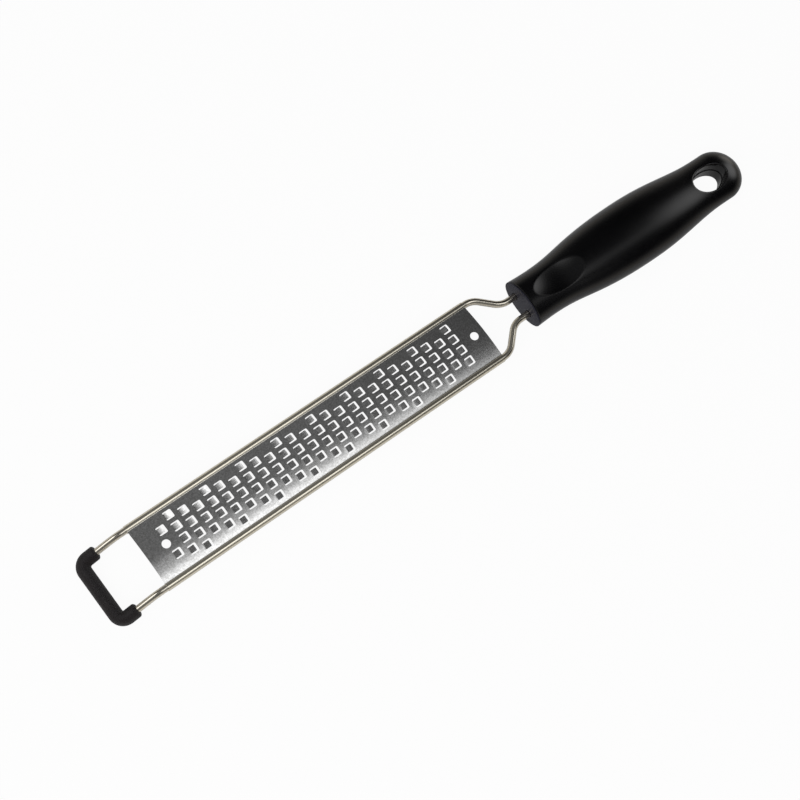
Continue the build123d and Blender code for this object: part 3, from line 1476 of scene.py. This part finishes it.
    def hollow(self, bm: BMesh, rim: Edges) -> None:
        """Line the hollow inside the grip, from its mouth to a closed end.

        Args:
            bm: Grip's mesh.
            rim: Open rim of the mouth.
        """
        sections = [self.section(self.start).inset(self.seam)]
        for station in range(self.cavity_steps + 1):
            x = self.start + self.cavity_length * station / self.cavity_steps
            sections.append(self.section(x).inset(self.wall))
        bmesh.ops.edgeloop_fill(bm, edges=loft(bm, rim, sections))

    def build(self, finish: MouldedPlastic) -> Object:
        """Build the grip and dress it.

        Args:
            finish: Plastic's finish.

        Returns:
            The finished piece.
        """
        bm = bmesh.new()
        sections = [self.section(self.start).inset(self.seam)]
        sections += [self.section(x) for x in self.outer_stations()]
        mouth = first_section(bm, sections[0], self.sides)
        bmesh.ops.edgeloop_fill(bm, edges=loft(bm, mouth, sections))
        self.press_thumb_rest(bm)
        bmesh.ops.edgeloop_fill(bm, edges=mouth)
        bmesh.ops.recalc_face_normals(bm, faces=bm.faces)
        bm = self.cut_hole(as_mesh(bm, "closed_grip"))
        self.line_hole(bm)
        lid = min(bm.faces, key=lambda face: face.calc_center_median().x)
        mouth = in_order(lid.edges)
        bmesh.ops.delete(bm, geom=[lid], context="FACES_ONLY")
        self.hollow(bm, mouth)
        bmesh.ops.remove_doubles(bm, verts=bm.verts, dist=TOUCHING)
        bmesh.ops.recalc_face_normals(bm, faces=bm.faces)
        return finish_piece(
            bm, "moulded_grip", "handle", finish.material(), self.crease
        )


@dataclass(frozen=True)
class SoftLight:
    """Soft round light far off in one direction of the room."""

    towards: tuple[float, float]    # X and Y of the direction; its Z follows
    core: float                     # degrees from the middle to where it starts to fall
    edge: float                     # degrees from the middle to where it ends
    level: float                    # brightness of the core, where 1 is white

    def add_to(self, tree: NodeTree, way: NodeSocket) -> NodeSocket:
        """Add the light to the room's nodes.

        Args:
            tree: Node tree of the world.
            way: Direction of the ray.

        Returns:
            The light's brightness in that direction.
        """
        x, y = self.towards
        middle = (x, y, math.sqrt(1 - x**2 - y**2))
        nearness = add_node(tree, "VectorMath", {"operation": "DOT_PRODUCT", 0: way, 1: middle})
        fall = (math.cos(math.radians(self.edge)), math.cos(math.radians(self.core)))
        return ranged(tree, nearness.outputs["Value"], fall, (0.0, self.level), "SMOOTHSTEP")


@dataclass(frozen=True)
class FillPanel:
    """White panel behind the camera's left, in metres, out of the metal's sight."""

    place: tuple[float, float, float] = (-1.35, -0.55, 1.25)
    size: float = 1.3
    level: float = 5.6

    def hang(self) -> None:
        """Add the panel to the scene, facing the zester."""
        lamp = bpy.data.lights.new("fill_panel", "AREA")
        lamp.shape = "SQUARE"
        lamp.size = self.size
        lamp.energy = self.level * math.pi * self.size**2
        panel = as_object("fill_panel", lamp)
        panel.location = self.place
        panel.rotation_euler = (-Vector(self.place)).to_track_quat("-Z", "Y").to_euler()
        panel.visible_camera = False
        panel.visible_glossy = False


@dataclass
class Studio:
    """White sweep, plain soft light and the camera."""

    camera_place: tuple[float, float, float] = (-0.30875, -0.1495, 0.7943)
    camera_turn: tuple[float, float, float] = (19.850, -9.789, -37.625)     # degrees
    lens: float = 85.5              # millimetres
    sensor: float = 36.0            # millimetres
    near_clip: float = 0.01
    floor_size: float = 6.0
    floor_height: float = -0.0001
    floor_colour: str = "D4D4D4"
    floor_roughness: float = 0.95
    floor_seen: float = 0.95        # share of plain white that the camera sees
    floor_mirrored: float = 0.2     # share of plain white that metal mirrors
    horizon: float = 0.56
    horizon_rise: float = 0.5
    horizon_colour: str = "FFF6E8"
    ceiling: float = 0.17           # the ceiling's level at its -X end
    ceiling_steps: tuple[tuple[float, float, float], ...] = (
        (-0.15, -0.12, -0.06),
        (0.02, 0.16, 0.06),
        (0.28, 0.46, -0.16),
    )                               # each from one X to the next, and the change of level
    lights: tuple[SoftLight, ...] = (
        # The bright band along the blade's near side with its halo, and the hems.
        SoftLight((0.225, -0.28), 7, 12.5, 1.65),
        SoftLight((0.20, -0.07), 4, 10.5, 0.35),
        SoftLight((0.24, -0.60), 2, 8, 0.9),
        # The grip's highlight with its fainter parts, and the tail.
        SoftLight((0.84, -0.01), 3, 20.5, 2.0),
        SoftLight((0.70, -0.12), 3, 13, 0.2),
        SoftLight((0.52, -0.15), 2, 9, 0.3),
        SoftLight((0.92, 0.32), 4, 16, 1.2),
        # The bright teeth near the tip and along the far side.
        SoftLight((-0.43, 0.36), 17, 19.5, 1.6),
        SoftLight((-0.17, 0.49), 3, 6, 1.8),
    )
    fill: FillPanel = FillPanel()

    def build_floor(self) -> Object:
        """Lay the floor.

        Returns:
            The floor.
        """
        bm = bmesh.new()
        bmesh.ops.create_grid(
            bm,
            x_segments=2,
            y_segments=2,
            size=self.floor_size / 2,
            matrix=Matrix.Translation((0, 0, self.floor_height)),
        )
        mesh = as_mesh(bm, "paper_sweep")
        mesh.materials.append(self.paper())
        floor = as_object("paper_sweep", mesh)
        return floor

    def paper(self) -> Material:
        """Build white paper that keeps the shadow and shows dimmer in metal than to the eye.

        Returns:
            The material.
        """
        made, tree, shader = new_material("white_paper")
        settings = {"Base Color": linear(self.floor_colour), "Roughness": self.floor_roughness}
        set_up(tree, shader, settings)
        rays = add_node(tree, "LightPath").outputs
        share = reckon(tree, "MULTIPLY", rays["Is Camera Ray"], self.floor_seen)
        for ray in ("Is Glossy Ray", "Is Transmission Ray"):
            share = reckon(tree, "MULTIPLY_ADD", rays[ray], self.floor_mirrored, share)
        glow = add_node(tree, "Emission", {"Strength": 1.0}).outputs[0]
        blend = add_node(tree, "MixShader", {0: share, 1: shader.outputs[0], 2: glow})
        set_up(tree, tree.nodes["Material Output"], {"Surface": blend.outputs[0]})
        return made

    def build_world(self) -> None:
        """Surround the table with a dim room that is pale near the horizon, and its lights."""
        world = bpy.data.worlds.new("studio_room")
        bpy.context.scene.world = world
        world.use_nodes = True
        tree = world.node_tree
        way = add_node(tree, "TexCoord").outputs["Generated"]
        parts = add_node(tree, "SeparateXYZ", {0: way}).outputs
        haze = ranged(tree, parts["Z"], (0.0, self.horizon_rise), (1.0, 0.0), "SMOOTHSTEP")
        level = reckon(tree, "MULTIPLY_ADD", haze, self.horizon, self.ceiling)
        for start, end, change in self.ceiling_steps:
            step = ranged(tree, parts["X"], (start, end), (0.0, change))
            level = reckon(tree, "ADD", level, step)
        for light in self.lights:
            level = reckon(tree, "ADD", level, light.add_to(tree, way))
        tint = mixed(tree, haze, WHITE, linear(self.horizon_colour))
        set_up(tree, tree.nodes["Background"], {"Strength": level, "Color": tint})

    def build_camera(self) -> None:
        """Place the camera as in the photograph."""
        data = bpy.data.cameras.new("camera")
        data.lens = self.lens
        data.sensor_width = self.sensor
        data.clip_start = self.near_clip
        camera = as_object("camera", data)
        camera.location = self.camera_place
        camera.rotation_euler = [math.radians(turn) for turn in self.camera_turn]
        bpy.context.scene.camera = camera

    def build(self) -> None:
        """Build the whole studio."""
        self.build_camera()
        self.build_floor()
        self.build_world()
        self.fill.hang()
        bpy.context.scene.view_settings.view_transform = "Standard"


def report(piece: Object) -> None:
    """Log one finished piece's name and number of faces."""
    LOG.info("%s: %d faces", piece.name, len(piece.data.polygons))


def main() -> None:
    """Build the studio and every piece of the zester."""
    logging.basicConfig(level=logging.INFO, format="%(name)s: %(message)s")
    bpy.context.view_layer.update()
    Studio().build()
    report(Blade().build(RolledStainless()))
    report(WireFrame().build(DrawnWire()))
    report(TipFoot().build(FOOT_RUBBER))
    report(HandleCap().build(CAP_ABS))
    report(Grip().build(GRIP_POLYPROPYLENE))


if __name__ == "__main__":
    main()
